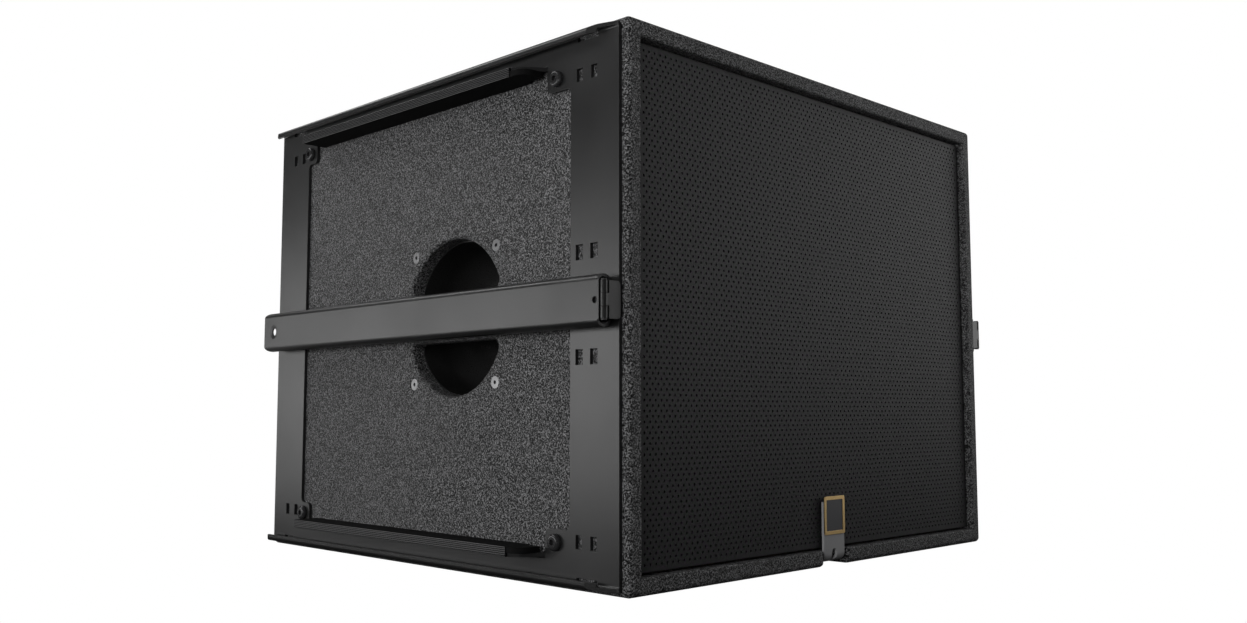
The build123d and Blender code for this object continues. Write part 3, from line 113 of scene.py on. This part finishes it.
class Look:
    """A material being built: a Principled shader and the textures that feed it."""

    def __init__(self, name, color, rough, metallic=0.0, spec=0.5):
        self.mat = bpy.data.materials.new(name)
        self.mat.use_nodes = True
        self.tree = self.mat.node_tree
        self.tree.nodes.clear()
        self.surface = self.add("ShaderNodeBsdfPrincipled")
        self.surface.inputs["Base Color"].default_value = (*color, 1)
        self.surface.inputs["Roughness"].default_value = rough
        self.surface.inputs["Metallic"].default_value = metallic
        self.surface.inputs["Specular IOR Level"].default_value = spec
        output = self.add("ShaderNodeOutputMaterial")
        self.link(self.surface.outputs[0], output.inputs[0])
        self.coord = self.add("ShaderNodeTexCoord").outputs["Object"]

    def add(self, kind, **props):
        node = self.tree.nodes.new(kind)
        for key, value in props.items():
            setattr(node, key, value)
        return node

    def link(self, output, socket):
        self.tree.links.new(output, socket)

    def noise(self, scale, detail=3.0, rough=0.5, distort=0.0, coord=None):
        node = self.add("ShaderNodeTexNoise")
        node.inputs["Scale"].default_value = scale
        node.inputs["Detail"].default_value = detail
        node.inputs["Roughness"].default_value = rough
        node.inputs["Distortion"].default_value = distort
        self.link(coord or self.coord, node.inputs["Vector"])
        return node.outputs["Fac"]

    def cells(self, scale, feature="F1"):
        node = self.add("ShaderNodeTexVoronoi", feature=feature)
        node.inputs["Scale"].default_value = scale
        self.link(self.coord, node.inputs["Vector"])
        return node.outputs["Distance"]

    def stretch(self, scale):
        node = self.add("ShaderNodeMapping")
        node.inputs["Scale"].default_value = scale
        self.link(self.coord, node.inputs["Vector"])
        return node.outputs[0]

    def axes(self):
        node = self.add("ShaderNodeSeparateXYZ")
        self.link(self.coord, node.inputs[0])
        return node.outputs

    def ramp(self, value, *stops):
        """Colours along a value; each stop is a position and a colour."""
        node = self.add("ShaderNodeValToRGB")
        elements = node.color_ramp.elements
        while len(elements) < len(stops):
            elements.new(0.5)
        for element, (position, color) in zip(elements, stops):
            element.position = position
            element.color = (*color, 1)
        self.link(value, node.inputs["Fac"])
        return node.outputs["Color"]

    def mix(self, a, b, factor=None, blend="MIX"):
        """Two colours mixed by a factor, or fully blended where none is given."""
        node = self.add("ShaderNodeMix", data_type="RGBA", blend_type=blend)
        node.inputs["Factor"].default_value = 1.0
        if factor:
            self.link(factor, node.inputs["Factor"])
        color_a, color_b = [socket for socket in node.inputs if socket.type == "RGBA"]
        self.link(a, color_a)
        self.link(b, color_b)
        return next(socket for socket in node.outputs if socket.type == "RGBA")

    def math(self, kind, a, b=None, clamp=False):
        node = self.add("ShaderNodeMath", operation=kind, use_clamp=clamp)
        for socket, value in zip(node.inputs, (a, b)):
            if isinstance(value, (int, float)):
                socket.default_value = value
            elif value is not None:
                self.link(value, socket)
        return node.outputs[0]

    def remap(self, value, low, high, new_low, new_high):
        node = self.add("ShaderNodeMapRange")
        self.link(value, node.inputs["Value"])
        names = ("From Min", "From Max", "To Min", "To Max")
        for key, number in zip(names, (low, high, new_low, new_high)):
            node.inputs[key].default_value = number
        return node.outputs[0]

    def feed(self, key, output):
        self.link(output, self.surface.inputs[key])

    def bump(self, height, distance, strength=1.0, edge=0.0):
        """Relief from a height, over edges that are eased by a small radius."""
        node = self.add("ShaderNodeBump")
        node.inputs["Strength"].default_value = strength
        node.inputs["Distance"].default_value = distance
        self.link(height, node.inputs["Height"])
        if edge:
            bevel = self.add("ShaderNodeBevel", samples=4)
            bevel.inputs["Radius"].default_value = edge
            self.link(bevel.outputs[0], node.inputs["Normal"])
        self.feed("Normal", node.outputs[0])


def grey(tone):
    """A neutral colour with a trace of blue."""
    return (tone, tone, tone * 1.02)


def scaled(color, factor):
    return tuple(min(1, part * factor) for part in color)


# ---- materials ----

def textured_paint(name, low, high, rough=0.62):
    """Coarse structured paint: a wrinkled skin of small, irregular grains, with painted shade in the low
    pits and a painted highlight on the crests.
    """
    look = Look(name, grey(high), rough, spec=0.42)
    fine = look.noise(1050, detail=1, rough=0.6)
    grain = look.noise(600, detail=1.5, rough=0.55, distort=0.8)
    broad = look.noise(170, detail=2, rough=0.5)
    pits = look.cells(640, "SMOOTH_F1")
    height = look.math("ADD", look.math("MULTIPLY", grain, 0.85), look.math("MULTIPLY", fine, 0.25))
    height = look.math("SUBTRACT", height, look.math("MULTIPLY", pits, 0.25))
    swell = look.math("MULTIPLY", look.math("SUBTRACT", broad, 0.5), 0.10)
    height = look.math("ADD", height, swell)
    # Painted shade and highlight: the colour runs from near black in the low pits to pale on the crests
    middle = grey((low + high) * 0.38)
    look.feed("Base Color", look.ramp(height, (0.39, grey(low)), (0.48, middle), (0.57, grey(high))))
    look.feed("Roughness", look.remap(height, 0.3, 0.8, rough + 0.12, rough - 0.1))
    look.bump(height, 1.7 * MM, edge=0.6 * MM)
    return look.mat


def powder_coat(name, tone, rough):
    """Satin powder coat on steel: a very fine orange peel and slow changes of sheen."""
    look = Look(name, grey(tone), rough)
    slow = look.noise(9, detail=2, rough=0.5)
    fine = look.noise(1400, detail=2, rough=0.5)
    look.feed("Base Color", look.ramp(slow, (0.3, grey(tone * 0.9)), (0.7, grey(tone * 1.12))))
    sheen = look.math("ADD", slow, look.math("MULTIPLY", fine, 0.3))
    look.feed("Roughness", look.remap(sheen, 0.3, 1.0, rough - 0.04, rough + 0.06))
    look.bump(fine, 0.06 * MM, edge=0.5 * MM)
    return look.mat


def grille_coat(name, tone):
    """Rough black coat on the perforated sheet, with a faint speckle of warm and cool grains."""
    look = Look(name, grey(tone), 0.55, spec=0.25)
    grain = look.noise(760, detail=2, rough=0.6)
    speckle = look.noise(330, detail=1, rough=0.5)
    warm, plain, cool = (1.25, 0.85, 1.35), (1, 1, 1), (0.85, 1.2, 0.9)
    tint = look.ramp(speckle, (0.36, warm), (0.5, plain), (0.64, cool))
    body = look.ramp(grain, (0.3, grey(tone * 0.45)), (0.7, grey(tone * 1.65)))
    look.feed("Base Color", look.mix(body, tint, blend="MULTIPLY"))
    look.feed("Roughness", look.remap(grain, 0.3, 0.7, 0.48, 0.64))
    look.bump(grain, 0.22 * MM)
    return look.mat


def moulded(name, tone, rough, spec=0.5, scale=900):
    """Moulded plastic or rubber with a fine grain."""
    base = (tone, tone, tone)
    look = Look(name, base, rough, spec=spec)
    grain = look.noise(scale, detail=3, rough=0.6)
    slow = look.noise(14, detail=2, rough=0.5)
    look.feed("Base Color", look.ramp(slow, (0.3, scaled(base, 0.88)), (0.7, scaled(base, 1.15))))
    look.feed("Roughness", look.remap(grain, 0.3, 0.7, rough - 0.05, rough + 0.07))
    look.bump(grain, 0.05 * MM, 0.8, edge=0.4 * MM)
    return look.mat


def ribbed_nylon(name):
    """Matt moulded nylon whose outermost rib crowns are smoother and glossier, and are painted paler as
    a painted highlight.
    """
    look = Look(name, grey(0.004), 0.7)
    low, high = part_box("rail_upper_left")
    out = look.math("ABSOLUTE", look.axes()["X"])
    crown = look.remap(out, -low.x - CROWN_SHEEN_START, -low.x - CROWN_SHEEN_FULL, 0.0, 1.0)
    grain = look.noise(700, detail=3, rough=0.6)
    patchy = look.remap(grain, 0.25, 0.6, 0.7, 1.0)
    crown_sheen = look.math("MULTIPLY", crown, patchy, clamp=True)
    # Painted highlight: the outermost crowns are painted paler, in patches
    look.feed("Base Color", look.ramp(crown_sheen, (0.0, grey(0.003)), (1.0, grey(0.022))))
    look.feed("Roughness", look.remap(crown_sheen, 0.0, 1.0, 0.8, 0.3))
    look.feed("Specular IOR Level", look.remap(crown_sheen, 0.0, 1.0, 0.08, 0.6))
    look.bump(grain, 0.02 * MM, 0.8)
    return look.mat


def plated(name, color, rough, metallic=1.0, brush=(900, 60, 60), edge=0.25 * MM):
    """Bare or plated metal with fine directional marks."""
    look = Look(name, color, rough, metallic=metallic)
    marks = look.noise(1, detail=3, rough=0.6, coord=look.stretch(brush))
    cloud = look.noise(60, detail=3, rough=0.6)
    look.feed("Base Color", look.ramp(cloud, (0.25, scaled(color, 0.82)), (0.75, scaled(color, 1.1))))
    look.feed("Roughness", look.remap(marks, 0.3, 0.7, rough - 0.06, rough + 0.1))
    look.bump(marks, 0.02 * MM, 0.7, edge=edge)
    return look.mat


def gold_plate(name):
    """Satin gold with a plain dark enamel field inside its border."""
    look = Look(name, (0.72, 0.50, 0.22), 0.36, metallic=1.0)
    grain = look.noise(1500, detail=3, rough=0.6)
    gold = look.ramp(grain, (0.3, (0.62, 0.42, 0.17)), (0.7, (0.85, 0.62, 0.31)))
    enamel = look.ramp(grain, (0.3, (0.024, 0.024, 0.026)), (0.7, (0.038, 0.038, 0.041)))
    low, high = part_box("badge_plate")
    axes = look.axes()
    inside = []
    for axis, start, end in (("X", low.x, high.x), ("Z", low.z, high.z)):
        away = look.math("ABSOLUTE", look.math("SUBTRACT", axes[axis], (start + end) / 2))
        inside.append(look.math("LESS_THAN", away, (end - start) / 2 - BADGE_BORDER))
    field = look.math("MULTIPLY", *inside)
    look.feed("Base Color", look.mix(gold, enamel, field))
    look.feed("Metallic", look.math("SUBTRACT", 1.0, field))
    look.feed("Roughness", look.remap(grain, 0.3, 0.7, 0.3, 0.44))
    look.bump(grain, 0.04 * MM, 0.8, edge=0.3 * MM)
    return look.mat


def plywood(name):
    """Pale birch veneers in thin layers."""
    look = Look(name, (0.55, 0.4, 0.24), 0.6)
    layers = look.stretch((14, 14, 220))
    veneer = look.noise(1, detail=4, rough=0.65, distort=1.2, coord=layers)
    dark, middle, pale = (0.42, 0.28, 0.15), (0.62, 0.46, 0.28), (0.72, 0.57, 0.38)
    look.feed("Base Color", look.ramp(veneer, (0.3, dark), (0.55, middle), (0.8, pale)))
    look.bump(veneer, 0.15 * MM, 0.6)
    return look.mat


def foam(name, tone):
    """Open-cell foam: round cells, paler in their middles, with painted shade in the pits between them.
    """
    look = Look(name, grey(tone), 0.95, spec=0.1)
    cells = look.cells(900)
    # Painted shade: the colour darkens from the cell middles to the pits between them
    look.feed("Base Color", look.ramp(cells, (0.0, grey(tone * 1.6)), (0.6, grey(tone * 0.3))))
    look.bump(cells, 0.8 * MM)
    return look.mat


def felt(name, color):
    """Matted fibres, as in lining felt or cone paper."""
    look = Look(name, color, 0.95, spec=0.1)
    fibres = look.noise(700, detail=5, rough=0.7, distort=2)
    look.feed("Base Color", look.ramp(fibres, (0.3, scaled(color, 0.6)), (0.7, scaled(color, 1.25))))
    look.bump(fibres, 0.6 * MM, 0.9)
    return look.mat


def woven(name, color):
    """Cloth with two crossed sets of threads."""
    look = Look(name, color, 0.85, spec=0.15)
    threads = []
    for direction in ("X", "Z"):
        wave = look.add("ShaderNodeTexWave", wave_type="BANDS", bands_direction=direction)
        wave.inputs["Scale"].default_value = 191.08
        wave.inputs["Distortion"].default_value = 0.6
        look.link(look.coord, wave.inputs["Vector"])
        threads.append(wave.outputs["Fac"])
    height = look.math("MAXIMUM", *threads)
    look.feed("Base Color", look.ramp(height, (0.3, scaled(color, 0.5)), (0.8, color)))
    look.bump(height, 0.3 * MM, 0.8)
    return look.mat


LOOKS = {
    # The two greys are the painted shade in the pits and the painted highlight on the crests
    "textured_paint": textured_paint("textured_paint", 0.001, 0.135),
    "birch_ply": plywood("birch_ply"),
    "felt": felt("felt", (0.25, 0.25, 0.26)),
    "grille_steel": grille_coat("grille_steel", 0.0085),
    "foam": foam("foam", 0.10),
    "badge_gold": gold_plate("badge_gold"),
    "bracket_grey": powder_coat("bracket_grey", 0.155, 0.42),
    "zinc": plated("zinc", (0.125, 0.125, 0.127), 0.3, metallic=0.85, edge=0.0),
    "cast_frame": powder_coat("cast_frame", 0.03, 0.5),
    "gasket": moulded("gasket", 0.02, 0.8),
    "black_screw": plated("black_screw", (0.03, 0.03, 0.031), 0.2, metallic=0.6, edge=0.2 * MM),
    "terminal_plastic": moulded("terminal_plastic", 0.018, 0.45),
    "surround_rubber": moulded("surround_rubber", 0.02, 0.6),
    "cone_paper": felt("cone_paper", (0.03, 0.03, 0.03)),
    "coil_copper": plated("coil_copper", (0.6, 0.28, 0.14), 0.3, brush=(30, 2500, 30)),
    "spider_cloth": woven("spider_cloth", (0.5, 0.36, 0.16)),
    "magnet_steel": plated("magnet_steel", (0.28, 0.28, 0.27), 0.4),
    "ferrite": moulded("ferrite", 0.05, 0.7, scale=500),
    "plate_steel": powder_coat("plate_steel", 0.006, 0.32),
    "rail_nylon": ribbed_nylon("rail_nylon"),
    "bar_steel": powder_coat("bar_steel", 0.006, 0.36),
    "pin_steel": plated("pin_steel", (0.06, 0.06, 0.06), 0.35, metallic=0.6),
    "cup_plastic": moulded("cup_plastic", 0.007, 0.3, spec=0.45),
    "lead_sheath": moulded("lead_sheath", 0.02, 0.6),
    "foot_rubber": moulded("foot_rubber", 0.02, 0.8),
    "port_plastic": moulded("port_plastic", 0.02, 0.6),
}


def dress_nodes():
    """Gives each node the look that its record entry names."""
    for entry in frame["record"]["subparts"]:
        materials = frame["nodes"][entry["node"]].data.materials
        materials.clear()
        materials.append(LOOKS[entry["material_slot"]])


# ---- perforated grille ----

def joined_rings(points, outer, inner, centre, size=(1, 1)):
    """The triangles between two closed rings of points that run round one centre."""
    def turn(index):
        x, _, z = points[index]
        return math.atan2((z - centre[1]) / size[1], (x - centre[0]) / size[0]) % (2 * math.pi)

    rings = (sorted(outer, key=turn), sorted(inner, key=turn))
    steps = [(turn(point), which, place) for which in (0, 1) for place, point in enumerate(rings[which])]
    at = [len(ring) - 1 for ring in rings]
    triangles = []
    for _, which, place in sorted(steps):
        triangles.append((rings[0][at[0]], rings[which][place], rings[1][at[1]]))
        at[which] = place
    return triangles


class GrilleSheet:
    """The grille tray's mesh: staggered round holes, a plain margin and returned edges."""

    def __init__(self):
        self.low, self.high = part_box("front_grille")
        self.width, self.height = self.high.x - self.low.x, self.high.z - self.low.z
        self.centre = ((self.low.x + self.high.x) / 2, (self.low.z + self.high.z) / 2)
        self.columns = int((self.width - 2 * PLAIN_MARGIN) / HOLE_PITCH_X)
        self.rows = int((self.height - 2 * PLAIN_MARGIN) / HOLE_PITCH_Z)
        self.start_x = self.centre[0] - self.columns * HOLE_PITCH_X / 2
        self.start_z = self.centre[1] - self.rows * HOLE_PITCH_Z / 2
        self.points = []
        self.faces = []
        self.lattice = {}

    def corner(self, quarter, row):
        """The lattice point at a quarter pitch across and a whole row up."""
        key = (quarter, row)
        if key not in self.lattice:
            self.lattice[key] = len(self.points)
            x = self.start_x + quarter * HOLE_PITCH_X / 4
            self.points.append((x, self.low.y, self.start_z + row * HOLE_PITCH_Z))
        return self.lattice[key]

    def hole_cell(self, left, row):
        """One cell, four quarter pitches wide and a row high, with a hole through its middle."""
        steps = ((4, 0), (4, 1), (3, 1), (2, 1), (1, 1), (0, 1), (0, 0), (1, 0), (2, 0), (3, 0))
        rim = [self.corner(left + across, row + up) for across, up in steps]
        x = self.start_x + (left + 2) * HOLE_PITCH_X / 4
        z = self.start_z + (row + 0.5) * HOLE_PITCH_Z
        front = len(self.points)
        back = front + HOLE_SIDES
        for depth in (0, SHEET):
            for side in range(HOLE_SIDES):
                turn = 2 * math.pi * (side + 0.5) / HOLE_SIDES
                edge_x, edge_z = x + HOLE_RADIUS * math.cos(turn), z + HOLE_RADIUS * math.sin(turn)
                self.points.append((edge_x, self.low.y + depth, edge_z))
        for side in range(HOLE_SIDES):
            after = (side + 1) % HOLE_SIDES
            self.faces.append((front + side, front + after, back + after, back + side))
        self.faces += joined_rings(self.points, rim, range(front, back), (x, z))

    def half_cell(self, left, row):
        """A plain half cell at the end of a shifted row."""
        steps = ((0, 0), (1, 0), (2, 0), (2, 1), (1, 1), (0, 1))
        self.faces.append(tuple(self.corner(left + across, row + up) for across, up in steps))

    def perforation(self):
        for row in range(self.rows):
            shift = 2 * (row % 2)
            for column in range(self.columns - (1 if shift else 0)):
                self.hole_cell(4 * column + shift, row)
            if shift:
                self.half_cell(0, row)
                self.half_cell(4 * self.columns - 2, row)

    def outline(self):
        """The tray's outline from the front, with round corners, run anticlockwise."""
        left, right = self.low.x + CORNER_RADIUS, self.high.x - CORNER_RADIUS
        bottom, top = self.low.z + CORNER_RADIUS, self.high.z - CORNER_RADIUS
        points = []
        for quarter, (x, z) in enumerate(((right, top), (left, top), (left, bottom), (right, bottom))):
            for step in range(CORNER_STEPS + 1):
                turn = math.radians(90 * (quarter + step / CORNER_STEPS))
                points.append((x + CORNER_RADIUS * math.cos(turn), z + CORNER_RADIUS * math.sin(turn)))
        return points

    def returned_edges(self):
        """The rounded bend round the front and the edge that runs back from it."""
        rings = []
        steps = [(EDGE_BEND * inset, EDGE_BEND * depth) for inset, depth in BEND_STEPS]
        steps.append((0.0, self.high.y - self.low.y))
        outline = self.outline()
        for inset, depth in steps:
            ring = []
            for x, z in outline:
                inner_x = max(min(x, self.high.x - inset), self.low.x + inset)
                inner_z = max(min(z, self.high.z - inset), self.low.z + inset)
                ring.append(len(self.points))
                self.points.append((inner_x, self.low.y + depth, inner_z))
            rings.append(ring)
        for near, far in zip(rings, rings[1:]):
            for place in range(len(near)):
                after = (place + 1) % len(near)
                self.faces.append((near[place], near[after], far[after], far[place]))
        return rings[0]

    def margin(self, front_ring):
        """The plain strip between the perforation and the bend."""
        last = 4 * self.columns
        rim = [self.corner(last, row) for row in range(self.rows + 1)]
        rim += [self.corner(quarter, self.rows) for quarter in range(last - 1, -1, -1)]
        rim += [self.corner(0, row) for row in range(self.rows - 1, -1, -1)]
        rim += [self.corner(quarter, 0) for quarter in range(1, last)]
        size = (self.width, self.height)
        self.faces += joined_rings(self.points, front_ring, rim, self.centre, size)

    def build(self):
        self.perforation()
        self.margin(self.returned_edges())
        mesh = bpy.data.meshes.new("grille_perforated")
        mesh.from_pydata(self.points, [], self.faces)
        mesh.update()
        mesh.materials.append(LOOKS["grille_steel"])
        grille = bpy.data.objects.new("grille_perforated", mesh)
        bpy.context.collection.objects.link(grille)
        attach(grille, "cabinet")
        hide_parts("front_grille")


# ---- stage, lights and camera ----

def floor_look():
    """White to the camera; to every other ray a grey that grows paler away from the part, a painted
    shade round the part.
    """
    look = bpy.data.materials.new("floor")
    look.use_nodes = True
    nodes, link = look.node_tree.nodes, look.node_tree.links.new
    nodes.clear()
    place = nodes.new("ShaderNodeTexCoord")
    away = nodes.new("ShaderNodeVectorMath")
    away.operation = "LENGTH"
    # Painted shade: the floor is painted darker the nearer it is to the part, for every ray but the
    # camera's
    shade = nodes.new("ShaderNodeMapRange")
    shade.inputs["From Min"].default_value = FLOOR_NEAR
    shade.inputs["From Max"].default_value = FLOOR_FAR
    shade.inputs["To Min"].default_value = PAINTED_SHADE_GREY
    shade.inputs["To Max"].default_value = GREY_FAR
    matt = nodes.new("ShaderNodeBsdfDiffuse")
    glow = nodes.new("ShaderNodeEmission")
    glow.inputs["Color"].default_value = (1, 1, 1, 1)
    ray = nodes.new("ShaderNodeLightPath")
    both = nodes.new("ShaderNodeMixShader")
    output = nodes.new("ShaderNodeOutputMaterial")
    link(place.outputs["Object"], away.inputs[0])
    link(away.outputs["Value"], shade.inputs["Value"])
    link(shade.outputs[0], matt.inputs["Color"])
    link(ray.outputs["Is Camera Ray"], both.inputs["Fac"])
    link(matt.outputs[0], both.inputs[1])
    link(glow.outputs[0], both.inputs[2])
    link(both.outputs[0], output.inputs[0])
    return look


def add_floor():
    grid = bmesh.new()
    bmesh.ops.create_grid(grid, x_segments=1, y_segments=1, size=FLOOR_HALF_SIZE)
    mesh = bpy.data.meshes.new("floor")
    grid.to_mesh(mesh)
    grid.free()
    mesh.materials.append(floor_look())
    floor = bpy.data.objects.new("floor", mesh)
    floor.location = (0, 0, cad_low.z - FLOOR_DROP)
    bpy.context.collection.objects.link(floor)


def add_world():
    """A white backdrop that lights the part only faintly."""
    world = bpy.data.worlds.new("studio")
    world.use_nodes = True
    nodes, link = world.node_tree.nodes, world.node_tree.links.new
    nodes.clear()
    ray = nodes.new("ShaderNodeLightPath")
    mix = nodes.new("ShaderNodeMixShader")
    link(ray.outputs["Is Camera Ray"], mix.inputs["Fac"])
    for socket, strength in ((1, BACKDROP_LIGHT), (2, BACKDROP_SEEN)):
        background = nodes.new("ShaderNodeBackground")
        background.inputs["Color"].default_value = (1, 1, 1, 1)
        background.inputs["Strength"].default_value = strength
        link(background.outputs[0], mix.inputs[socket])
    output = nodes.new("ShaderNodeOutputWorld")
    link(mix.outputs[0], output.inputs["Surface"])
    bpy.context.scene.world = world


def add_softbox(name, place, target, size, power, mirrored):
    """A rectangular soft light, aimed at its target."""
    light = bpy.data.lights.new(name, "AREA")
    light.shape = "RECTANGLE"
    light.size, light.size_y = size
    light.energy = power
    box = bpy.data.objects.new(name, light)
    bpy.context.collection.objects.link(box)
    box.location = place
    box.rotation_mode = "QUATERNION"
    box.rotation_quaternion = (Vector(target) - Vector(place)).to_track_quat("-Z", "Y")
    box.visible_glossy = mirrored


def add_camera():
    """Low at the left front corner, looking up a little."""
    lens = bpy.data.cameras.new("camera")
    lens.sensor_width = CAMERA_SENSOR
    lens.lens = CAMERA_LENS
    lens.clip_start, lens.clip_end = CAMERA_RANGE
    yaw, tilt, roll = (math.radians(angle) for angle in (CAMERA_YAW, CAMERA_TILT, CAMERA_ROLL))
    forward = Vector((math.sin(yaw) * math.cos(tilt), math.cos(yaw) * math.cos(tilt), math.sin(tilt)))
    level = Vector((math.cos(yaw), -math.sin(yaw), 0))
    upright = level.cross(forward)
    right = level * math.cos(roll) + upright * math.sin(roll)
    up = upright * math.cos(roll) - level * math.sin(roll)
    camera = bpy.data.objects.new("camera", lens)
    bpy.context.collection.objects.link(camera)
    turn = Matrix((right, up, -forward)).transposed().to_4x4()
    camera.matrix_world = Matrix.Translation(CAMERA_PLACE) @ turn
    bpy.context.scene.camera = camera


dress_nodes()
GrilleSheet().build()
add_floor()
add_world()
for softbox in SOFTBOXES:
    add_softbox(*softbox)
add_camera()
bpy.context.scene.view_settings.view_transform = "Standard"
bpy.context.scene.view_settings.look = "None"
